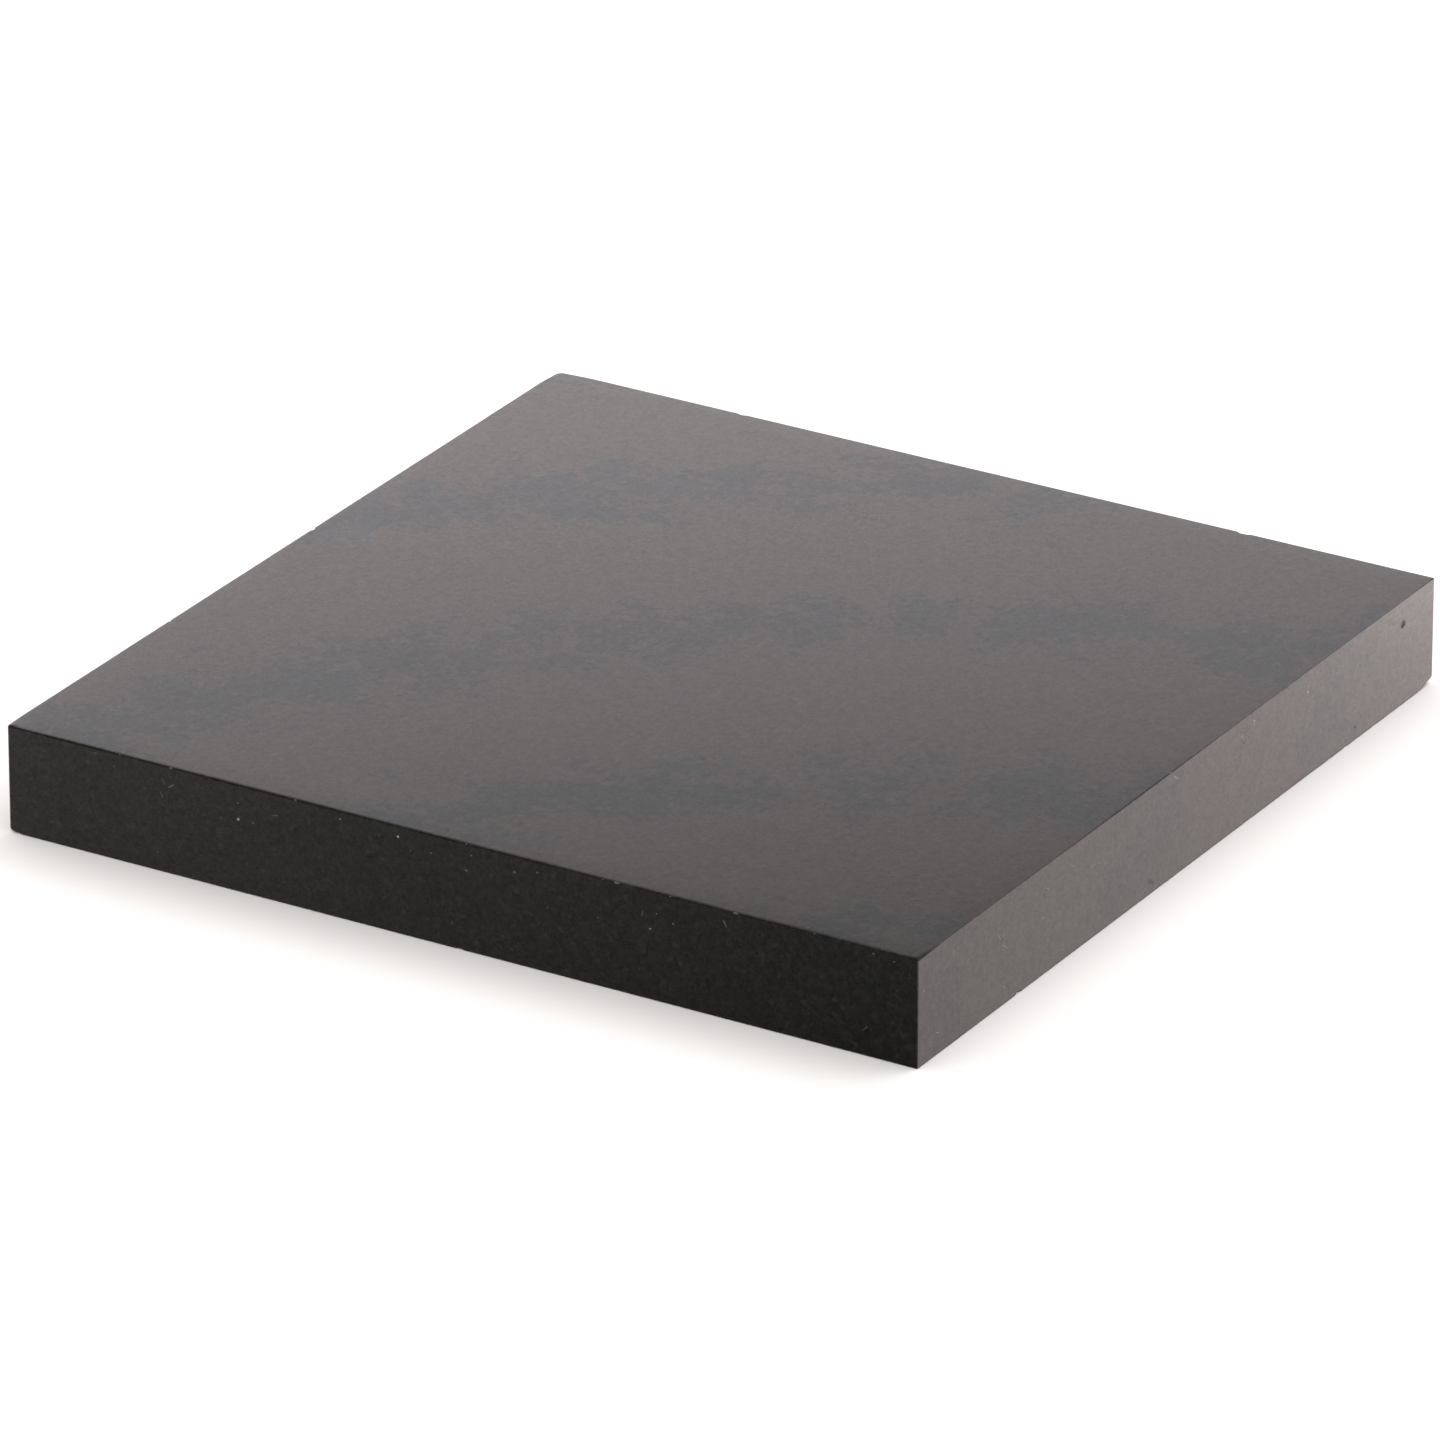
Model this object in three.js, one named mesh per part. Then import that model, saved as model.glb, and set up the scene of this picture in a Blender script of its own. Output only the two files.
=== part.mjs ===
// Granite slab: the small square block of polished black granite that leatherworkers lay on the
// bench to tool, stamp, pare and punch on. It is one solid piece of sawn stone, with no feet,
// frame or backing: its top is polished flat, its sides and base are sawn and honed, and its
// mass is what makes it work.
//
// Millimetres, +Z up. The origin is the middle of the base, so the slab stands on Z = 0.
//   -X -Y corner: worn round          +X -Y corner: crisp, as it left the saw
//   -X +Y corner: worn round          +X +Y corner: crisp, as it left the saw

import * as THREE from 'three';

// Driving dimensions
const SLAB_SIDE = 180;        // plan size, the same both ways
const SLAB_THICKNESS = 20;    // the standard calibrated thickness of polished granite
const ARRIS = 0.6;            // how far the long top and bottom edges are eased
const WORN_CORNER = 1.5;      // plan radius of the two upright corners that are worn round

// Fineness of the round stretches
const ARRIS_STEPS = 4;
const CORNER_STEPS = 8;

// Polished black granite, seen as a dark, slightly warm grey
const GRANITE_COLOUR = 0x2b2a2a;
const GRANITE_ROUGHNESS = 0.22;

// The outline of the slab from above, anticlockwise from the worn corner at -X -Y.
function slabOutline(side, wornRadius) {
  const half = side / 2;
  const centre = half - wornRadius;
  const outline = new THREE.Shape();
  outline.moveTo(-centre, -half);
  outline.lineTo(half, -half);
  outline.lineTo(half, half);
  outline.lineTo(-centre, half);
  outline.absarc(-centre, centre, wornRadius, Math.PI / 2, Math.PI, false);
  outline.lineTo(-half, -centre);
  outline.absarc(-centre, -centre, wornRadius, Math.PI, 1.5 * Math.PI, false);
  return outline;
}

// The slab: the outline drawn up to the full thickness, with both long edges eased.
// The easing is taken inwards from the outline, so the sides keep the full plan size.
function slabGeometry() {
  const geometry = new THREE.ExtrudeGeometry(slabOutline(SLAB_SIDE, WORN_CORNER), {
    depth: SLAB_THICKNESS - 2 * ARRIS,
    curveSegments: CORNER_STEPS,
    bevelEnabled: true,
    bevelThickness: ARRIS,
    bevelSize: ARRIS,
    bevelOffset: -ARRIS,
    bevelSegments: ARRIS_STEPS,
  });
  geometry.translate(0, 0, ARRIS);
  return geometry;
}

const graniteMaterial = new THREE.MeshStandardMaterial({
  color: GRANITE_COLOUR,
  roughness: GRANITE_ROUGHNESS,
  metalness: 0,
});

const slab = new THREE.Mesh(slabGeometry(), graniteMaterial);
slab.name = 'granite_slab';

const graniteSlab = new THREE.Group();
graniteSlab.add(slab);

export default graniteSlab;
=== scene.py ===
"""The looks of the granite slab: one block of polished black granite on a pale studio floor.

The slab is a single piece of stone, so it is a single mesh here. Its outline is drawn once
around the CAD box, lofted from the base to the top with hand-eased edges, and then small chips,
pits and scratches are bitten out of it. Six finishes of the same stone cover it: the polished
top, the honed sides, the rubbed edges, the sawn base, and the broken and the bruised stone
inside its marks.

Lengths of the slab and the camera are in millimetres until they reach Blender. The studio is in
metres.
"""

import math
import random

import bmesh
import bpy
from mathutils import Matrix, Vector, noise


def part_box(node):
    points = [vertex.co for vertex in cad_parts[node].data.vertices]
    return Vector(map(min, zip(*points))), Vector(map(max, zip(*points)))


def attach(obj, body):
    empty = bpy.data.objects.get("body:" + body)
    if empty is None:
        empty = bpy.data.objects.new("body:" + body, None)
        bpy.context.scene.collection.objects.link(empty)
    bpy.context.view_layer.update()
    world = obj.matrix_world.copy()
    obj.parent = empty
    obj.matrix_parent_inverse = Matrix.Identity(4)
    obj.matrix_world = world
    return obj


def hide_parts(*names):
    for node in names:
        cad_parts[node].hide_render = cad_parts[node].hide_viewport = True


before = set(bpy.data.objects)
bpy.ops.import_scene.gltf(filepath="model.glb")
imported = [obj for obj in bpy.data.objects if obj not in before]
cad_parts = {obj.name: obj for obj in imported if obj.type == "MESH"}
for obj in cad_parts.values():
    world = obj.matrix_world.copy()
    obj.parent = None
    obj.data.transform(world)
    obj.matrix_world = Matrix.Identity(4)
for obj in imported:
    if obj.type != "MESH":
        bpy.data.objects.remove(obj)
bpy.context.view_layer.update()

MM = 0.001
NODE = "granite_slab"
SEED = 20

# ---------------------------------------------------------------------------------------------
# The slab, from the frame
# ---------------------------------------------------------------------------------------------

slab_low, slab_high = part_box(NODE)
HALF = (slab_high.x - slab_low.x) / 2 / MM
THICKNESS = (slab_high.z - slab_low.z) / MM

# The four sides, anticlockwise from above. Each ends at the upright corner of the same name.
SIDES = FRONT, RIGHT, BACK, LEFT = range(4)
SIDE_LENGTH = 2 * HALF
PERIMETER = 4 * SIDE_LENGTH
CORNER_RADIUS = {FRONT: 0.25, RIGHT: 0.20, BACK: 1.7, LEFT: 0.70}

# How far each side's long edges are eased, before wear.
TOP_EASING = {FRONT: 0.38, RIGHT: 0.04, BACK: 0.15, LEFT: 0.20}
BASE_EASING = {FRONT: 0.10, RIGHT: 0.06, BACK: 0.25, LEFT: 0.20}
EASING_BLEND = 0.05           # share of a side over which its easing meets its neighbour's
EASING_WANDER = 0.12          # share of the easing that comes and goes along an edge
SIDE_WANDER = 0.04            # how far the sides wander inwards
CHAMFER_SHARE = 0.25          # 0 is a full round, 1 a plain 45 degree chamfer
SMALLEST_RADIUS = 0.03

# How far round the outline each upright corner is.
LEFT_CORNER, FRONT_CORNER, RIGHT_CORNER, BACK_CORNER = (side * SIDE_LENGTH for side in SIDES)

# Knocked corners and a rubbed stretch of edge: (distance round the outline, extra easing, reach).
TOP_WEAR = (
    (LEFT_CORNER, 0.08, 1.6),
    (FRONT_CORNER, 0.20, 4.0),
    (FRONT_CORNER + 74, 0.14, 25.0),
    (BACK_CORNER, 0.4, 3.0),
)
BASE_WEAR = (
    (LEFT_CORNER, 0.5, 1.2),
    (RIGHT_CORNER, 1.2, 2.4),
    (BACK_CORNER, 0.8, 3.0),
)

STATION_STEP = 1.2
CORNER_STEPS = 8
EASING_STEPS = 6
SIDE_ROWS = 6

# Polishing rounds a flat face off very slightly towards its edges.
ROLL_OFF = 0.022              # how far the polished face has dropped where its edge begins
ROLL_OFF_WIDTH = 6.0
ROLL_OFF_STEPS = 5
ROLL_OFF_CROWDING = 1.5       # above 1, the steps crowd towards the edge, where it bends most

# Waves seldom peak together, so their sum is scaled up to swing between about -1 and 1.
WAVE_GAIN = 1.8

POLISHED, HONED, RUBBED, SAWN, BROKEN, BRUISED = range(6)
MARKS = (BROKEN, BRUISED)


def wander(seed, harmonics):
    """A smooth random curve around the outline, between about -1 and 1, as a function of distance."""
    draw = random.Random(seed)
    waves = [(n, draw.uniform(0.4, 1.0), draw.uniform(0, math.tau)) for n in harmonics]
    total = sum(height for _, height, _ in waves)

    def at(distance):
        turn = math.tau * distance / PERIMETER
        return WAVE_GAIN * sum(h * math.sin(n * turn + phase) for n, h, phase in waves) / total

    return at


def wear(distance, spots):
    """The extra easing at a distance round the outline."""
    extra = 0.0
    for place, height, reach in spots:
        gap = abs(distance - place) % PERIMETER
        gap = min(gap, PERIMETER - gap)
        extra += height * math.exp(-((gap / reach) ** 2))
    return extra


def stations():
    """Every point of the outline, as (side, share of the side, share of the corner after it)."""
    side_steps = round(SIDE_LENGTH / STATION_STEP)
    points = []
    for side in SIDES:
        points += [(side, step / side_steps, 0.0) for step in range(side_steps)]
        points += [(side, 1.0, step / CORNER_STEPS) for step in range(CORNER_STEPS)]
    return points


def outline_point(side, along, turn, inset):
    """A point of the outline in plan, moved inwards from the slab's full square by inset."""
    before = HALF - max(CORNER_RADIUS[(side - 1) % 4], inset + SMALLEST_RADIUS)
    radius = max(CORNER_RADIUS[side], inset + SMALLEST_RADIUS)
    after = HALF - radius
    angle = turn * math.pi / 2
    x = -before + (before + after) * along + (radius - inset) * math.sin(angle)
    y = -after - (radius - inset) * math.cos(angle)
    quarter = side * math.pi / 2
    return (
        x * math.cos(quarter) - y * math.sin(quarter),
        x * math.sin(quarter) + y * math.cos(quarter),
    )


def blended(easing, side, along):
    """A side's easing, running halfway to each neighbour's over its last stretch."""
    here = easing[side]
    into_next = 0.5 * max(0.0, 1 - (1 - along) / EASING_BLEND)
    from_last = 0.5 * max(0.0, 1 - along / EASING_BLEND)
    next_one = easing[(side + 1) % 4]
    last_one = easing[(side - 1) % 4]
    return here + into_next * (next_one - here) + from_last * (last_one - here)


def eased_stations():
    """Every point of the outline with its own top easing, base easing and inset after its place."""
    top_wander = wander(SEED + 1, (7, 11, 19, 31, 47, 67))
    base_wander = wander(SEED + 2, (5, 13, 23, 41, 59))
    side_wander = wander(SEED + 3, (3, 5, 9, 14))
    points = []
    for side, along, turn in stations():
        distance = (side + along) * SIDE_LENGTH
        top = blended(TOP_EASING, side, along) * (1 + EASING_WANDER * top_wander(distance))
        top += wear(distance, TOP_WEAR)
        base = blended(BASE_EASING, side, along) * (1 + EASING_WANDER * base_wander(distance))
        base += wear(distance, BASE_WEAR)
        inset = SIDE_WANDER * (0.5 + 0.25 * side_wander(distance))
        inset *= math.sin(math.pi * along) if turn == 0 else 0.0
        points.append((side, along, turn, top, base, inset))
    return points


def profile():
    """The upright section of the slab, base to top, as (kind, inset share, height share)."""
    steps = []
    for step in range(EASING_STEPS + 1):
        angle = step / EASING_STEPS * math.pi / 2
        chamfer = step / EASING_STEPS
        inset = (1 - CHAMFER_SHARE) * (1 - math.sin(angle)) + CHAMFER_SHARE * (1 - chamfer)
        height = (1 - CHAMFER_SHARE) * (1 - math.cos(angle)) + CHAMFER_SHARE * chamfer
        steps.append((inset, height))
    base = [("base", inset, height) for inset, height in steps]
    side = [("side", 0.0, row / SIDE_ROWS) for row in range(1, SIDE_ROWS)]
    top = [("top", inset, height) for inset, height in reversed(steps)]
    return base + side + top


def edge_ring(points, kind, inset_share, height_share):
    """The outline at one step of the profile."""
    shoulder = THICKNESS - ROLL_OFF
    placed = []
    for side, along, turn, top, base, inset in points:
        if kind == "base":
            inset += base * inset_share
            z = base * height_share
        elif kind == "top":
            inset += top * inset_share
            z = shoulder - top * height_share
        else:
            z = base + (shoulder - top - base) * height_share
        x, y = outline_point(side, along, turn, inset)
        placed.append((x, y, z))
    return placed


def drawn_in(ring, margin, z):
    """A ring moved inwards by a margin, and laid level."""
    scale = 1 - margin / HALF
    return [(x * scale, y * scale, z) for x, y, _ in ring]


def slab_rings():
    """The slab's skin as rings, from the flat of the base, up its sides, to the flat of the top."""
    points = eased_stations()
    edges = [edge_ring(points, *step) for step in profile()]
    rings = [drawn_in(edges[0], ROLL_OFF_WIDTH, 0.0)] + edges
    for step in range(1, ROLL_OFF_STEPS + 1):
        share = (step / ROLL_OFF_STEPS) ** ROLL_OFF_CROWDING
        rings.append(drawn_in(edges[-1], ROLL_OFF_WIDTH * share, THICKNESS - ROLL_OFF * (1 - share) ** 2))
    return rings


def finish_at(level):
    """The finish of the faces between one ring and the next, counted up from the base."""
    edge_rings = len(profile())
    if level == 0:
        return SAWN
    if level >= edge_rings:
        return POLISHED
    if level <= EASING_STEPS or level >= edge_rings - EASING_STEPS:
        return RUBBED
    return HONED


def slab_mesh():
    """The whole slab before its marks: a skin over the rings, and a cap at each end."""
    rings = slab_rings()
    count = len(rings[0])
    vertices = [Vector(point) * MM for ring in rings for point in ring]
    faces = []
    finishes = []
    for level in range(len(rings) - 1):
        low, high = level * count, (level + 1) * count
        for i in range(count):
            j = (i + 1) % count
            faces.append((low + i, low + j, high + j, high + i))
            finishes.append(finish_at(level))
    last = (len(rings) - 1) * count
    faces += [tuple(range(count - 1, -1, -1)), tuple(range(last, last + count))]
    finishes += [SAWN, POLISHED]

    mesh = bpy.data.meshes.new(NODE)
    mesh.from_pydata(vertices, [], faces)
    mesh.polygons.foreach_set("material_index", finishes)
    mesh.shade_smooth()
    mesh.update()
    return mesh


# ---------------------------------------------------------------------------------------------
# Chips, pits and scratches
# ---------------------------------------------------------------------------------------------

# Knocks along the long edges: (side, mm along the side from its start, top or base edge,
# length, depth, tilt). A tilt of 0 bites into the side face and 90 into the top or the base.
EDGE_CHIPS = (
    (RIGHT, 33.5, "base", 1.6, 0.30, 35),
    (RIGHT, 85.5, "top", 1.3, 0.15, 12),
    (RIGHT, 126.0, "top", 1.0, 0.12, 25),
    (RIGHT, 148.0, "base", 1.2, 0.18, 50),
    (FRONT, 122.0, "top", 0.9, 0.12, 40),
    (FRONT, 145.0, "top", 0.8, 0.10, 45),
    (FRONT, 91.0, "base", 1.4, 0.20, 40),
    (BACK, 38.0, "top", 2.4, 0.38, 30),
    (BACK, 97.0, "base", 3.4, 0.60, 30),
    (BACK, 141.0, "top", 1.5, 0.24, 55),
    (LEFT, 52.0, "base", 2.6, 0.45, 40),
    (LEFT, 83.0, "top", 1.8, 0.30, 35),
    (LEFT, 129.0, "top", 1.1, 0.20, 50),
)
SMALL_CHIPS_PER_EDGE = 7
SMALL_CHIP_LENGTH = (0.3, 0.7)
SMALL_CHIP_DEPTH = (0.04, 0.10)
SMALL_CHIP_TILT = (15, 75)
SMALL_CHIP_STRAY = (0.1, 0.9)  # where in its own stretch of edge a small chip falls
CHIP_SEAT = 0.35              # share of the easing by which a chip sits below the sharp corner
CHIP_SINK = 0.5               # share of its depth by which its bowl starts inside that seat
CHIP_BOWL = 0.7               # the bowl's own depth, as a share of the chip's
CHIP_WIDTH_IN_DEPTHS = 3.2    # at least
CHIP_WIDTH_IN_LENGTHS = 0.45  # at least

# Pits in the side faces: (side, mm along, height, width, depth, finish inside).
SIDE_PITS = (
    (RIGHT, 168.5, 15.5, 1.8, 0.50, BROKEN),
    (RIGHT, 171.0, 14.0, 0.8, 0.06, BRUISED),
    (RIGHT, 166.0, 10.0, 0.6, 0.05, BRUISED),
    (RIGHT, 134.0, 16.0, 0.6, 0.10, BRUISED),
    (RIGHT, 144.5, 15.5, 0.3, 0.05, BRUISED),
    (RIGHT, 126.0, 15.5, 0.3, 0.05, BRUISED),
    (RIGHT, 160.5, 11.5, 0.3, 0.05, BRUISED),
    (RIGHT, 94.0, 5.5, 0.3, 0.05, BRUISED),
    (RIGHT, 119.0, 4.0, 0.3, 0.05, BRUISED),
    (RIGHT, 42.0, 10.5, 0.3, 0.05, BRUISED),
    (RIGHT, 151.5, 2.5, 0.7, 0.16, BROKEN),
    (RIGHT, 2.0, 13.5, 0.3, 0.05, BRUISED),
    (FRONT, 47.0, 13.5, 0.6, 0.12, BRUISED),
    (FRONT, 79.0, 18.0, 0.5, 0.10, BRUISED),
    (FRONT, 43.5, 13.0, 0.4, 0.08, BROKEN),
    (FRONT, 50.0, 13.5, 0.4, 0.08, BROKEN),
    (FRONT, 47.0, 16.5, 0.4, 0.08, BROKEN),
    (FRONT, 67.5, 18.5, 0.5, 0.06, BROKEN),
    (FRONT, 81.5, 16.0, 0.4, 0.08, BROKEN),
    (FRONT, 85.5, 16.5, 0.4, 0.08, BROKEN),
    (FRONT, 92.5, 15.0, 0.5, 0.10, BROKEN),
    (FRONT, 93.5, 18.0, 0.4, 0.08, BROKEN),
    (FRONT, 102.0, 17.0, 0.6, 0.06, BROKEN),
    (FRONT, 106.5, 18.0, 0.5, 0.10, BROKEN),
    (FRONT, 128.5, 13.0, 0.5, 0.08, BROKEN),
    (FRONT, 133.0, 15.0, 0.5, 0.08, BROKEN),
    (FRONT, 171.5, 19.0, 0.5, 0.08, BROKEN),
    (FRONT, 175.5, 18.5, 0.4, 0.08, BROKEN),
    (BACK, 24.0, 6.0, 0.9, 0.20, BROKEN),
    (BACK, 88.5, 13.0, 0.6, 0.10, BRUISED),
    (BACK, 152.0, 9.0, 0.7, 0.16, BROKEN),
    (LEFT, 31.0, 14.5, 0.6, 0.10, BRUISED),
    (LEFT, 104.0, 5.0, 1.0, 0.22, BROKEN),
    (LEFT, 150.5, 12.0, 0.5, 0.08, BRUISED),
)
SMALL_PITS_PER_SIDE = 7
SMALL_PIT_WIDTH = (0.20, 0.36)
SMALL_PIT_DEPTH = 0.18        # as a share of its width
PIT_NARROWING = 0.85          # its height as a share of its width

# Scratches in the side faces: (side, mm along, height, length, width, lean from level, finish).
SIDE_SCRATCHES = (
    (RIGHT, 27.0, 13.0, 1.6, 0.22, -55, BRUISED),
    (RIGHT, 28.5, 13.0, 1.2, 0.18, 40, BRUISED),
    (RIGHT, 29.0, 10.5, 2.2, 0.18, -40, BRUISED),
    (RIGHT, 6.5, 4.0, 1.2, 0.14, -25, BRUISED),
    (RIGHT, 29.0, 3.0, 1.6, 0.14, -35, BRUISED),
    (RIGHT, 48.5, 2.0, 1.5, 0.16, -20, BRUISED),
    (RIGHT, 43.0, 15.5, 1.6, 0.12, -35, BRUISED),
    (RIGHT, 52.0, 16.0, 1.2, 0.12, -30, BRUISED),
    (RIGHT, 87.0, 18.5, 2.8, 0.40, -36, BRUISED),
    (RIGHT, 78.5, 2.5, 2.8, 0.90, -35, BROKEN),
    (FRONT, 32.0, 17.0, 1.4, 0.22, -70, BROKEN),
    (FRONT, 33.5, 16.5, 1.6, 0.22, 35, BROKEN),
    (FRONT, 31.5, 14.5, 1.3, 0.24, -60, BROKEN),
    (FRONT, 54.5, 16.0, 1.6, 0.14, 10, BROKEN),
    (FRONT, 18.0, 19.0, 1.4, 0.16, 15, BROKEN),
    (FRONT, 9.5, 4.0, 1.6, 0.12, 5, BROKEN),
    (FRONT, 127.0, 15.5, 1.2, 0.20, 80, BROKEN),
    (FRONT, 143.0, 17.5, 1.3, 0.26, -60, BROKEN),
    (FRONT, 170.0, 5.0, 1.3, 0.20, 50, BROKEN),
    (BACK, 63.0, 10.5, 3.0, 0.16, -20, BRUISED),
    (BACK, 119.0, 15.0, 1.8, 0.20, 50, BROKEN),
    (LEFT, 67.0, 9.0, 2.4, 0.16, 30, BRUISED),
    (LEFT, 121.0, 16.0, 1.6, 0.20, -50, BROKEN),
)
SCRATCH_DEPTH = 0.3           # as a share of its width

# A bruise of many small specks in a side face: (side, mm along, height, reach, specks).
SPECKLED_BRUISES = (
    (RIGHT, 112.0, 16.5, 3.0, 16),
    (LEFT, 44.0, 11.0, 2.5, 10),
)
SPECK_WIDTH = (0.2, 0.5)
SPECK_DEPTH = 0.07
SPECK_SPREAD = (0.5, 0.35)    # along the side and upwards, as shares of the reach
BRIGHT_SPECKS = 0.4           # share of the specks that are bruised, the rest being broken

# Pin-prick pits in the polished top: (x, y, width).
TOP_PITS = (
    (-19.5, 22.0, 0.55),
    (-28.5, 51.0, 0.50),
    (1.0, -35.5, 0.50),
    (-49.5, -38.0, 0.50),
    (5.0, -71.5, 0.50),
    (63.0, 0.5, 0.45),
)
SMALL_TOP_PITS = 10
SMALL_TOP_PIT_WIDTH = (0.2, 0.4)
TOP_PIT_DEPTH = 0.16          # as a share of its width
TOP_PIT_NARROWING = (0.7, 1)  # how broad it is the other way, as a share of its width

# How near the middle of a random mark may come to an edge or a corner.
CHIP_MARGIN = 3
PIT_END_MARGIN = 5
PIT_EDGE_MARGIN = 2
SPECK_MARGIN = 1
TOP_PIT_MARGIN = 8

# Two bowls surely miss each other when they are further apart than this share of both lengths.
CLEARANCE = 0.75

# How uneven a bowl is: heights are shares of its size.
BOWL_LUMP_HEIGHT = 0.16
BOWL_LUMPS = 1.7              # about how many from its middle to its rim
BOWL_ROUGHNESS = 0.04


def side_frame(side):
    """The directions along a side, anticlockwise from above, and out of it."""
    quarter = side * math.pi / 2
    along = Vector((math.cos(quarter), math.sin(quarter), 0))
    out = Vector((math.sin(quarter), -math.cos(quarter), 0))
    return along, out


class Bites:
    """Small bowls to cut from the slab in one go, which works only while none touches another."""

    def __init__(self, seed):
        self.shape = bmesh.new()
        self.draw = random.Random(seed)
        self.taken = []

    def has_room(self, place, length):
        return all((place - other).length > CLEARANCE * (length + theirs) for other, theirs in self.taken)

    def bowl(self, place, along, out, length, width, depth, finish=BROKEN, fineness=2):
        """One irregular bowl, length by width across its rim and depth below place.

        It is the end of an egg two depths in radius, whose centre floats one depth above the
        surface. The rim is then the square root of 3/4 as wide as the egg.
        """
        rim_share = math.sqrt(3) / 2
        across = out.cross(along).normalized()
        centre = place + out * depth
        semi = (length / 2 / rim_share, width / 2 / rim_share, 2 * depth)
        lumps = Vector([self.draw.uniform(0, 100) for _ in range(3)])
        faces_before = len(self.shape.faces)
        made = bmesh.ops.create_icosphere(self.shape, subdivisions=fineness, radius=1.0)
        for vertex in made["verts"]:
            lump = BOWL_LUMP_HEIGHT * noise.noise(vertex.co * BOWL_LUMPS + lumps)
            size = 1 + lump + self.draw.uniform(-BOWL_ROUGHNESS, BOWL_ROUGHNESS)
            x, y, z = vertex.co * size
            vertex.co = (centre + along * x * semi[0] + across * y * semi[1] + out * z * semi[2]) * MM
        self.shape.faces.ensure_lookup_table()
        for face in self.shape.faces[faces_before:]:
            face.material_index = finish
            face.smooth = True
        self.taken.append((place, length))

    def chip(self, side, distance, edge, length, depth, tilt, fineness=2, if_room=False):
        """A knock on the long top or base edge of a side."""
        along, out = side_frame(side)
        if edge == "top":
            up, height, easing = Vector((0, 0, 1)), THICKNESS, TOP_EASING[side]
        else:
            up, height, easing = Vector((0, 0, -1)), 0.0, BASE_EASING[side]
        seat = easing * CHIP_SEAT
        tip = along * (distance - HALF) + out * (HALF - seat) + Vector((0, 0, height)) - up * seat
        if if_room and not self.has_room(tip, length):
            return
        lean = math.radians(tilt)
        way = (out * math.cos(lean) + up * math.sin(lean)).normalized()
        rim = tip - way * depth * CHIP_SINK
        width = max(CHIP_WIDTH_IN_DEPTHS * depth, CHIP_WIDTH_IN_LENGTHS * length)
        self.bowl(rim, along, way, length, width, depth * CHIP_BOWL, fineness=fineness)

    def side_mark(self, side, distance, height, length, width, depth, lean, finish, if_room=False):
        """A pit or a scratch in a side face, its far end raised by the lean."""
        along, out = side_frame(side)
        place = along * (distance - HALF) + out * (HALF - SIDE_WANDER / 2) + Vector((0, 0, height))
        if if_room and not self.has_room(place, length):
            return
        slanted = Matrix.Rotation(math.radians(lean), 3, out) @ along
        self.bowl(place, slanted, out, length, width, depth, finish)

    def small_marks(self, side):
        """The scattered small chips and pits of one side."""
        draw = self.draw
        for edge in ("top", "base"):
            for number in range(SMALL_CHIPS_PER_EDGE):
                share = (number + draw.uniform(*SMALL_CHIP_STRAY)) / SMALL_CHIPS_PER_EDGE
                distance = CHIP_MARGIN + share * (SIDE_LENGTH - 2 * CHIP_MARGIN)
                length = draw.uniform(*SMALL_CHIP_LENGTH)
                depth = draw.uniform(*SMALL_CHIP_DEPTH)
                tilt = draw.uniform(*SMALL_CHIP_TILT)
                self.chip(side, distance, edge, length, depth, tilt, if_room=True)
        for _ in range(SMALL_PITS_PER_SIDE):
            distance = draw.uniform(PIT_END_MARGIN, SIDE_LENGTH - PIT_END_MARGIN)
            height = draw.uniform(PIT_EDGE_MARGIN, THICKNESS - PIT_EDGE_MARGIN)
            width = draw.uniform(*SMALL_PIT_WIDTH)
            depth = width * SMALL_PIT_DEPTH
            self.side_mark(side, distance, height, width, width, depth, 0, BROKEN, if_room=True)

    def speckled_bruise(self, side, distance, height, reach, specks):
        draw = self.draw
        for _ in range(specks):
            along = distance + draw.gauss(0, SPECK_SPREAD[0]) * reach
            up = min(height + draw.gauss(0, SPECK_SPREAD[1]) * reach, THICKNESS - SPECK_MARGIN)
            width = draw.uniform(*SPECK_WIDTH)
            finish = BRUISED if draw.random() < BRIGHT_SPECKS else BROKEN
            self.side_mark(side, along, up, width, width, SPECK_DEPTH, 0, finish, if_room=True)

    def top_pits(self):
        draw = self.draw
        level, up = Vector((1, 0, 0)), Vector((0, 0, 1))
        spread = HALF - TOP_PIT_MARGIN
        pits = list(TOP_PITS)
        for _ in range(SMALL_TOP_PITS):
            x, y = draw.uniform(-spread, spread), draw.uniform(-spread, spread)
            pits.append((x, y, draw.uniform(*SMALL_TOP_PIT_WIDTH)))
        for x, y, width in pits:
            across = width * draw.uniform(*TOP_PIT_NARROWING)
            depth = width * TOP_PIT_DEPTH
            self.bowl(Vector((x, y, THICKNESS)), level, up, width, across, depth, fineness=1)

    def cut_from(self, piece):
        mesh = bpy.data.meshes.new("bites")
        self.shape.to_mesh(mesh)
        self.shape.free()
        cutter = bpy.data.objects.new("bites", mesh)
        bpy.context.scene.collection.objects.link(cutter)
        cut = piece.modifiers.new("bites", "BOOLEAN")
        cut.operation = "DIFFERENCE"
        cut.solver = "EXACT"
        cut.object = cutter
        apply_modifiers(piece)
        bpy.data.objects.remove(cutter)


def chips_and_pits():
    bites = Bites(SEED)
    for side, distance, edge, length, depth, tilt in EDGE_CHIPS:
        bites.chip(side, distance, edge, length, depth, tilt, fineness=3)
    for side, distance, height, width, depth, finish in SIDE_PITS:
        bites.side_mark(side, distance, height, width, width * PIT_NARROWING, depth, 0, finish)
    for side in SIDES:
        bites.small_marks(side)
    bites.top_pits()
    return bites


def scratches_and_bruises():
    bites = Bites(SEED + 4)
    for side, distance, height, length, width, lean, finish in SIDE_SCRATCHES:
        bites.side_mark(side, distance, height, length, width, width * SCRATCH_DEPTH, lean, finish)
    for side, distance, height, reach, specks in SPECKLED_BRUISES:
        bites.speckled_bruise(side, distance, height, reach, specks)
    return bites


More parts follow.
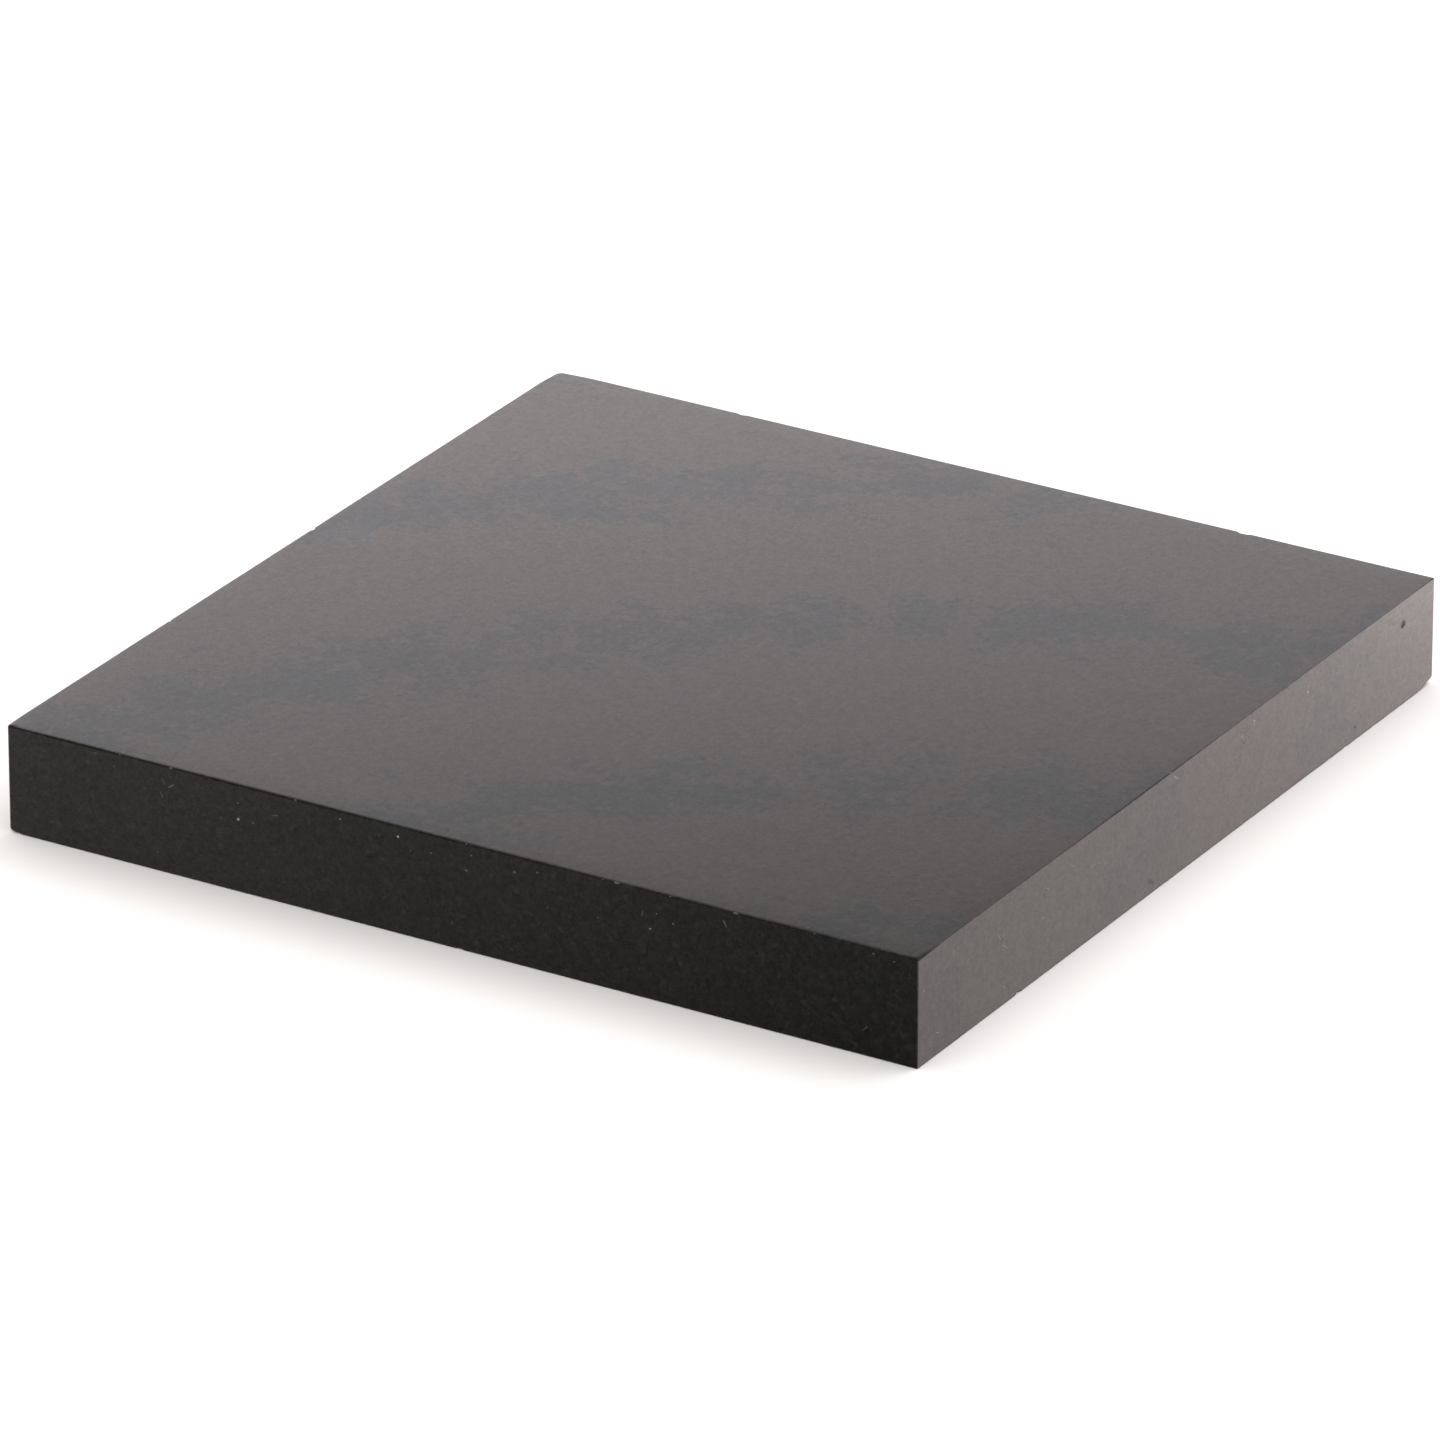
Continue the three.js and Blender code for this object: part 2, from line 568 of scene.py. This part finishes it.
def apply_modifiers(piece):
    """Turns a piece's modifiers into its mesh."""
    graph = bpy.context.evaluated_depsgraph_get()
    evaluated = piece.evaluated_get(graph)
    mesh = bpy.data.meshes.new_from_object(evaluated, preserve_all_data_layers=True, depsgraph=graph)
    piece.modifiers.clear()
    piece.data = mesh


def mark_sharp_rims(piece):
    """Makes the rim of every mark a sharp edge, so its bowl is shaded apart from the face around it."""
    shape = bmesh.new()
    shape.from_mesh(piece.data)
    for edge in shape.edges:
        inside_a_mark = {face.material_index in MARKS for face in edge.link_faces}
        edge.smooth = len(inside_a_mark) == 1
    shape.to_mesh(piece.data)
    shape.free()


def made_slab():
    slab = bpy.data.objects.new("slab", slab_mesh())
    bpy.context.scene.collection.objects.link(slab)
    for finish in FINISHES:
        slab.data.materials.append(granite(**finish))
    # The two groups are cut one after the other, so a scratch may cross a chip or a pit.
    chips_and_pits().cut_from(slab)
    scratches_and_bruises().cut_from(slab)
    mark_sharp_rims(slab)
    shading = slab.modifiers.new("shading", "WEIGHTED_NORMAL")
    shading.mode = "FACE_AREA"
    shading.weight = 100
    shading.keep_sharp = True
    apply_modifiers(slab)
    return slab


# ---------------------------------------------------------------------------------------------
# Materials
# ---------------------------------------------------------------------------------------------

class Graph:
    """A material's node tree, with short ways to add nodes and wire them."""

    def __init__(self, material):
        material.use_nodes = True
        self.tree = material.node_tree
        self.shader = self.tree.nodes["Principled BSDF"]

    def put(self, socket, value):
        if isinstance(value, bpy.types.NodeSocket):
            self.tree.links.new(value, socket)
        elif isinstance(value, tuple) and len(value) == 3 and len(socket.default_value) == 4:
            socket.default_value = (*value, 1)
        else:
            socket.default_value = value

    def add(self, kind, inputs=None, **settings):
        node = self.tree.nodes.new("ShaderNode" + kind)
        for name, value in settings.items():
            setattr(node, name, value)
        for name, value in (inputs or {}).items():
            self.put(node.inputs[name], value)
        return node

    def sum(self, a, b):
        return self.add("Math", {0: a, 1: b}, operation="ADD").outputs[0]

    def times(self, a, b):
        return self.add("Math", {0: a, 1: b}, operation="MULTIPLY").outputs[0]

    def ramp(self, value, low, high, at_low, at_high, **settings):
        """A straight run from at_low to at_high as the value goes from low to high, level beyond."""
        inputs = {"Value": value, "From Min": low, "From Max": high, "To Min": at_low, "To Max": at_high}
        return self.add("MapRange", inputs, **settings).outputs["Result"]

    def above(self, value, low, high):
        """0 below low, 1 above high, smooth between them."""
        return self.ramp(value, low, high, 0.0, 1.0, interpolation_type="SMOOTHSTEP")

    def span(self, value, low, high):
        """A 0 to 1 value stretched to run from low to high."""
        return self.ramp(value, 0.0, 1.0, low, high)

    def noise(self, place, scale, detail=2.0, roughness=0.5):
        inputs = {"Vector": place, "Scale": scale, "Detail": detail, "Roughness": roughness}
        return self.add("TexNoise", inputs).outputs

    def cells(self, place, scale):
        """Three 0 to 1 values picked at random for each cell of a shattered space."""
        colour = self.add("TexVoronoi", {"Vector": place, "Scale": scale}).outputs["Color"]
        return self.add("SeparateColor", {0: colour}).outputs

    def blend(self, share, a, b, kind="MIX"):
        node = self.add("Mix", data_type="RGBA", blend_type=kind)
        for socket, value in ((node.inputs[0], share), (node.inputs[6], a), (node.inputs[7], b)):
            self.put(socket, value)
        return node.outputs[2]

    def steps(self, value, stops):
        """Colours held constant from one stop to the next."""
        ramp = self.add("ValToRGB", {"Fac": value})
        ramp.color_ramp.interpolation = "CONSTANT"
        while len(ramp.color_ramp.elements) < len(stops):
            ramp.color_ramp.elements.new(1.0)
        for element, (position, colour) in zip(ramp.color_ramp.elements, stops):
            element.position = position
            element.color = (*colour, 1)
        return ramp.outputs["Color"]


# The minerals of black granite: each makes up the grains from its own share to the next one's.
MINERALS = (
    (0.00, (0.0080, 0.0075, 0.0072)),      # pyroxene, almost black
    (0.42, (0.0125, 0.0116, 0.0110)),      # dark plagioclase
    (0.78, (0.0165, 0.0153, 0.0145)),      # grey plagioclase
    (0.965, (0.0240, 0.0223, 0.0210)),     # clear feldspar
    (0.998, (0.1300, 0.1220, 0.1120)),     # sulphide and mica flecks
)
GRAIN_PER_MM = 1.25
FINE_GRAIN_PER_MM = 3.4
FINE_GRAIN_SHARE = 0.45
GRAIN_SHAKE = 0.9             # how far the grains' borders are pushed about
GRAIN_SHAKE_PER_MM = 0.9      # how finely
STONE_IOR = 1.62

# How much more or less than the average a grain shines, as its crystal happens to lie.
COARSE_SHINE = (0.88, 1.12)
FINE_SHINE = (0.83, 1.17)

# Dark flakes where the stone takes less polish, crowded into bands that bend round a far centre.
FLAKE_PER_MM = 0.45
FLAKE_RAGGEDNESS = 0.68
FLAKE_SHARE = 0.6             # of the flakes' own noise, the rest being the clumps they gather in
CLUMP_SIZE = 5                # in flakes
FLAKE_EDGE = (0.562, 0.582)   # the levels of both noises together between which a flake comes on
PLAIN_SHEEN, FLAKE_SHEEN = 0.5, 0.445
PLAIN_SHEEN_TINT, FLAKE_SHEEN_TINT = (1.0, 0.965, 0.97), (0.76, 0.93, 1.0)
PLAIN_TINT, FLAKE_TINT = (1.02, 1.0, 0.98), (0.91, 0.97, 0.97)
BAND_CENTRE = (140.0, -174.5, 20.0)
BAND_RADIUS = 294.8           # of the outermost band
BAND_SPACING = 61.9
BAND_CROWDING = 0.10          # how far the middle of a band raises the noises
BAND_DRIFT = 0.3              # how far a band may stray, in spacings
BAND_DRIFT_PER_MM = 0.016

# A faint smudge near one edge of the polished face.
SMUDGE = (-82.0, 8.0, 20.0)
SMUDGE_REACH = 6.0
SMUDGE_FADE = 2.5
SMUDGE_RAGGEDNESS = 5.0
SMUDGE_RAGS_PER_MM = 0.25
SMUDGE_SHEEN = 0.07

# How polish and relief vary over a face.
GLOSS_PER_MM = 0.22
GLOSS_GRAIN_SHARE = 0.35
RELIEF_PER_MM = 1.6
RELIEF_DEPTH = 0.1
GRAIN_RELIEF = 0.5            # how far a grain may stand out, against the relief's own noise
SAW_LINES_PER_MM = 0.11

FINISHES = (
    dict(name="granite_polished", lightness=(1.0, 1.0, 1.0), roughness=(0.10, 0.17), bump=0.012, flakes=1.0),
    dict(name="granite_honed", lightness=(0.81, 0.86, 0.79), roughness=(0.24, 0.36), bump=0.04),
    dict(name="granite_rubbed", lightness=(0.9, 0.9, 0.9), roughness=(0.28, 0.42), bump=0.06),
    dict(name="granite_sawn", lightness=(3.0, 3.0, 3.0), roughness=(0.62, 0.80), bump=0.25, lines=0.35),
    dict(name="granite_broken", lightness=(6.0, 6.2, 6.4), roughness=(0.45, 0.75), bump=0.60),
    dict(name="granite_bruised", lightness=(15.0, 16.5, 17.5), roughness=(0.60, 0.85), bump=0.40),
)


def grains(graph, place):
    """The mineral colours, how each grain shines, and a 0 to 1 value at random for each small one."""
    shake = graph.noise(place, GRAIN_SHAKE_PER_MM, detail=3.0)["Color"]
    inputs = {0: shake, 1: (GRAIN_SHAKE,) * 3, 2: place}
    shaken = graph.add("VectorMath", inputs, operation="MULTIPLY_ADD").outputs[0]
    coarse, coarse_shine, _ = graph.cells(shaken, GRAIN_PER_MM)
    fine, fine_shine, _ = graph.cells(shaken, FINE_GRAIN_PER_MM)
    colours = graph.blend(FINE_GRAIN_SHARE, graph.steps(coarse, MINERALS), graph.steps(fine, MINERALS))
    shine = graph.times(graph.span(coarse_shine, *COARSE_SHINE), graph.span(fine_shine, *FINE_SHINE))
    return colours, shine, fine


def flaking(graph, place):
    """1 inside a dark flake and 0 outside it."""
    reach = graph.add("VectorMath", {0: place, 1: BAND_CENTRE}, operation="DISTANCE").outputs["Value"]
    bands = graph.times(graph.sum(reach, -BAND_RADIUS), 1 / BAND_SPACING)
    drift = graph.sum(graph.noise(place, BAND_DRIFT_PER_MM)["Fac"], -0.5)
    turn = graph.times(graph.sum(bands, graph.times(drift, BAND_DRIFT)), math.tau)
    wave = graph.add("Math", {0: turn}, operation="COSINE").outputs[0]
    flakes = graph.noise(place, FLAKE_PER_MM, detail=6.0, roughness=FLAKE_RAGGEDNESS)["Fac"]
    clumps = graph.noise(place, FLAKE_PER_MM / CLUMP_SIZE)["Fac"]
    mixed = graph.sum(graph.times(flakes, FLAKE_SHARE), graph.times(clumps, 1 - FLAKE_SHARE))
    return graph.above(graph.sum(mixed, graph.times(wave, BAND_CROWDING)), *FLAKE_EDGE)


def smudging(graph, place):
    """1 in the middle of the smudge, falling raggedly to 0."""
    reach = graph.add("VectorMath", {0: place, 1: SMUDGE}, operation="DISTANCE").outputs["Value"]
    rags = graph.noise(place, SMUDGE_RAGS_PER_MM, detail=3.0)["Fac"]
    ragged = graph.sum(reach, graph.times(rags, SMUDGE_RAGGEDNESS))
    return graph.above(ragged, SMUDGE_REACH + SMUDGE_FADE, SMUDGE_REACH)


def granite(name, lightness, roughness, bump, lines=0.0, flakes=0.35):
    """One finish of the stone. Its grain runs through the block, so neighbouring faces match."""
    material = bpy.data.materials.new(name)
    graph = Graph(material)
    inputs = {0: graph.add("TexCoord").outputs["Object"], "Scale": 1 / MM}
    place = graph.add("VectorMath", inputs, operation="SCALE").outputs[0]
    minerals, shine, fine = grains(graph, place)
    flaked = graph.times(flaking(graph, place), flakes)

    colour = graph.blend(1.0, minerals, graph.blend(flaked, PLAIN_TINT, FLAKE_TINT), "MULTIPLY")
    colour = graph.blend(1.0, colour, lightness, "MULTIPLY")

    polish = graph.noise(place, GLOSS_PER_MM, detail=4.0)["Fac"]
    gloss = graph.span(graph.blend(GLOSS_GRAIN_SHARE, polish, fine), *roughness)

    rough = graph.noise(place, RELIEF_PER_MM, detail=5.0)["Fac"]
    relief = graph.sum(graph.times(fine, GRAIN_RELIEF), rough)
    if lines:
        inputs = {"Vector": place, "Scale": SAW_LINES_PER_MM, "Distortion": 2.5, "Detail": 2.0}
        relief = graph.sum(relief, graph.times(graph.add("TexWave", inputs).outputs["Fac"], lines))
    inputs = {"Strength": bump, "Distance": RELIEF_DEPTH * MM, "Height": relief}
    surface = graph.add("Bump", inputs).outputs["Normal"]

    sheen = graph.times(graph.span(flaked, PLAIN_SHEEN, FLAKE_SHEEN), shine)
    sheen = graph.sum(sheen, graph.times(smudging(graph, place), SMUDGE_SHEEN))
    sheen_tint = graph.blend(flaked, PLAIN_SHEEN_TINT, FLAKE_SHEEN_TINT)

    graph.put(graph.shader.inputs["Base Color"], colour)
    graph.put(graph.shader.inputs["Roughness"], gloss)
    graph.put(graph.shader.inputs["Normal"], surface)
    graph.put(graph.shader.inputs["IOR"], STONE_IOR)
    graph.put(graph.shader.inputs["Specular IOR Level"], sheen)
    graph.put(graph.shader.inputs["Specular Tint"], sheen_tint)
    return material


slab = made_slab()
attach(slab, "root")
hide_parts(NODE)

# ---------------------------------------------------------------------------------------------
# Studio, in metres
# ---------------------------------------------------------------------------------------------

FLOOR_SIZE = 12.0
FLOOR_GREY = 0.86
FLOOR_GAP = 0.1 * MM          # below the slab, so that the two never share a plane

# The lantern is a lidded drum all round, seen only by the polish, so its glow is a painted reflection. Its
# wall is bright round a low horizon and dark higher up, so that the polished top darkens towards the viewer.
# A black flag on its wall is painted shade, which the polish of the front side reflects.
LANTERN_RADIUS = 0.55
LANTERN_HEIGHT = 1.6
LANTERN_SIDES = 96
LANTERN_TINT = (1.07, 0.985, 1.0)
HORIZON = (0.20, 0.385)       # the heights over which the wall darkens
HORIZON_GLOW = (1.22, 0.17)   # its strength below and above them
FOOT = (0.05, 0.13)           # the heights over which it has brightened from its foot
FOOT_GLOW = (0.33, 1.0)       # the share of its strength below and above them
SIDE_GLOW = (1.50, 0.45)      # the share of its strength at -X and at +X
PAINTED_SHADE_WAY = (-0.47, -0.88)     # a black flag hangs on the wall this way
PAINTED_SHADE_EDGE = (0.55, 0.80)      # as shares of the radius
PAINTED_SHADE_GLOW = (1.0, 0.06)       # the share of the wall's strength clear of it and behind it

# The cards lie on the floor beside the slab, and also show only in its polish. The white card is a painted
# reflection of brightly lit floor beside the right side, the black card a painted reflection of shaded floor
# in front of the slab.
CARD_GAP = 0.1 * MM           # between a card and the slab's side
CARD_LIFT = 0.02 * MM
LIT_FLOOR_REFLECTION_TINT = (1.10, 0.985, 0.97)
SHADED_FLOOR_REFLECTION_TINT = (1.06, 0.99, 0.95)
FLARE_BEND = 7.0              # how late and sharply a card's flare comes on


def studio_floor():
    mesh = bpy.data.meshes.new("floor")
    half = FLOOR_SIZE / 2
    corners = [(-half, -half, 0), (half, -half, 0), (half, half, 0), (-half, half, 0)]
    mesh.from_pydata(corners, [], [(0, 1, 2, 3)])
    floor = bpy.data.objects.new("floor", mesh)
    floor.location.z = slab_low.z - FLOOR_GAP
    bpy.context.scene.collection.objects.link(floor)
    material = bpy.data.materials.new("floor")
    graph = Graph(material)
    graph.put(graph.shader.inputs["Base Color"], (FLOOR_GREY,) * 3)
    graph.put(graph.shader.inputs["Roughness"], 0.9)
    graph.put(graph.shader.inputs["Specular IOR Level"], 0.0)
    mesh.materials.append(material)


def reflector(name, vertices, faces, tint, strength, cover=None):
    """A glowing surface that lights nothing and shows only in reflections, clear where cover is 0."""
    mesh = bpy.data.meshes.new(name)
    mesh.from_pydata(vertices, [], faces)
    piece = bpy.data.objects.new(name, mesh)
    bpy.context.scene.collection.objects.link(piece)
    material = bpy.data.materials.new(name)
    graph = Graph(material)
    place = graph.add("SeparateXYZ", {0: graph.add("TexCoord").outputs["Object"]}).outputs
    surface = graph.add("Emission", {"Color": tint, "Strength": strength(graph, place)}).outputs[0]
    if cover:
        clear = graph.add("BsdfTransparent").outputs[0]
        surface = graph.add("MixShader", {0: cover(graph, place), 1: clear, 2: surface}).outputs[0]
    graph.put(graph.tree.nodes["Material Output"].inputs["Surface"], surface)
    mesh.materials.append(material)
    piece.visible_camera = False
    piece.visible_diffuse = False
    piece.visible_shadow = False
    piece.visible_transmission = False


def lantern():
    vertices = []
    faces = []
    around = 2 * LANTERN_SIDES
    for i in range(LANTERN_SIDES):
        angle = math.tau * i / LANTERN_SIDES
        x, y = LANTERN_RADIUS * math.cos(angle), LANTERN_RADIUS * math.sin(angle)
        vertices += [(x, y, 0.0), (x, y, LANTERN_HEIGHT)]
        faces.append((2 * i, 2 * i + 1, (2 * i + 3) % around, (2 * i + 2) % around))
    faces.append(tuple(range(1, around, 2)))

    def strength(graph, place):
        glow = graph.ramp(place["Z"], *HORIZON, *HORIZON_GLOW)
        glow = graph.times(glow, graph.ramp(place["Z"], *FOOT, *FOOT_GLOW))
        glow = graph.times(glow, graph.ramp(place["X"], -LANTERN_RADIUS, LANTERN_RADIUS, *SIDE_GLOW))
        along_painted_shade = [graph.times(place[axis], share) for axis, share in zip("XY", PAINTED_SHADE_WAY)]
        painted_shade_edge = [share * LANTERN_RADIUS for share in PAINTED_SHADE_EDGE]
        return graph.times(glow, graph.ramp(graph.sum(*along_painted_shade), *painted_shade_edge, *PAINTED_SHADE_GLOW))

    reflector("lantern", vertices, faces, LANTERN_TINT, strength)


def floor_card(name, low, high, fade_in, fade_out, tint, axis, glow_span, glow, flare=0.0):
    """A card on the floor. Its glow runs evenly along an axis, with a flare towards the far end.

    It goes clear over the fade_in widths at its low X and Y borders, and the fade_out widths at
    its high ones. A width of 0 is a clean border.
    """
    z = slab_low.z + CARD_LIFT
    vertices = [(low[0], low[1], z), (high[0], low[1], z), (high[0], high[1], z), (low[0], high[1], z)]

    def strength(graph, place):
        share = graph.ramp(place[axis], *glow_span, 0.0, 1.0)
        flaring = graph.add("Math", {0: share, 1: FLARE_BEND}, operation="POWER").outputs[0]
        return graph.sum(graph.span(share, *glow), graph.times(flaring, flare))

    def cover(graph, place):
        whole = 1.0
        for letter, border, fade in zip("XY", low, fade_in):
            if fade:
                whole = graph.times(whole, graph.above(place[letter], border, border + fade))
        for letter, border, fade in zip("XY", high, fade_out):
            if fade:
                whole = graph.times(whole, graph.above(place[letter], border, border - fade))
        return whole

    reflector(name, vertices, [(0, 1, 2, 3)], tint, strength, cover)


def softbox(name, azimuth, elevation, distance, size, power):
    """A square area light, left out of reflections. Azimuth is measured from +X towards +Y."""
    light = bpy.data.lights.new(name, "AREA")
    light.shape = "SQUARE"
    light.size = size
    light.energy = power
    lamp = bpy.data.objects.new(name, light)
    a, e = math.radians(azimuth), math.radians(elevation)
    away = Vector((math.cos(a) * math.cos(e), math.sin(a) * math.cos(e), math.sin(e)))
    lamp.location = away * distance
    lamp.rotation_euler = away.to_track_quat("Z", "Y").to_euler()
    lamp.visible_glossy = False
    bpy.context.scene.collection.objects.link(lamp)


def studio_world(colour, strength):
    world = bpy.data.worlds.new("studio")
    bpy.context.scene.world = world
    world.use_nodes = True
    background = world.node_tree.nodes["Background"]
    background.inputs["Color"].default_value = (*colour, 1)
    background.inputs["Strength"].default_value = strength


studio_floor()
lantern()
beside = HALF * MM + CARD_GAP
# Painted reflection of brightly lit floor beside the right side.
floor_card(
    "lit_floor_reflection", low=(beside, -0.16), high=(0.20, 0.21), fade_in=(0, 0.03), fade_out=(0.075, 0.075),
    tint=LIT_FLOOR_REFLECTION_TINT, axis="Y", glow_span=(-0.12, 0.16), glow=(0.96, 1.76), flare=2.15,
)
# Painted reflection of shaded floor in front of the slab.
floor_card(
    "shaded_floor_reflection", low=(-0.20, -0.55), high=(0.13, -beside), fade_in=(0.08, 0), fade_out=(0.03, 0),
    tint=SHADED_FLOOR_REFLECTION_TINT, axis="X", glow_span=(-0.20, 0.10), glow=(0.49, 0.03),
)
softbox("key", azimuth=62, elevation=48, distance=1.6, size=1.4, power=9)
studio_world((1.03, 0.99, 0.975), 1.3)

# ---------------------------------------------------------------------------------------------
# Camera
# ---------------------------------------------------------------------------------------------

CAMERA_AZIMUTH = 30.93        # degrees round from the front, towards +X
CAMERA_ELEVATION = 24.61
CAMERA_DISTANCE = 2253.4
SENSOR_WIDTH = 36.0
CAMERA_LENS = 325.32
AIM_RIGHT = -1.61             # where the camera aims, from the slab's middle, in its own view
AIM_UP = -2.93


def studio_camera():
    azimuth, elevation = math.radians(CAMERA_AZIMUTH), math.radians(CAMERA_ELEVATION)
    back = Vector((
        math.sin(azimuth) * math.cos(elevation),
        -math.cos(azimuth) * math.cos(elevation),
        math.sin(elevation),
    ))
    right = Vector((0, 0, 1)).cross(back).normalized()
    up = back.cross(right)
    middle = (slab_low + slab_high) / 2
    aim = middle + (right * AIM_RIGHT + up * AIM_UP) * MM
    lens = bpy.data.cameras.new("camera")
    lens.sensor_width = SENSOR_WIDTH
    lens.lens = CAMERA_LENS
    lens.clip_end = 100.0
    camera = bpy.data.objects.new("camera", lens)
    camera.location = aim + back * CAMERA_DISTANCE * MM
    camera.rotation_euler = back.to_track_quat("Z", "Y").to_euler()
    bpy.context.scene.collection.objects.link(camera)
    bpy.context.scene.camera = camera


studio_camera()
bpy.context.scene.view_settings.view_transform = "Standard"
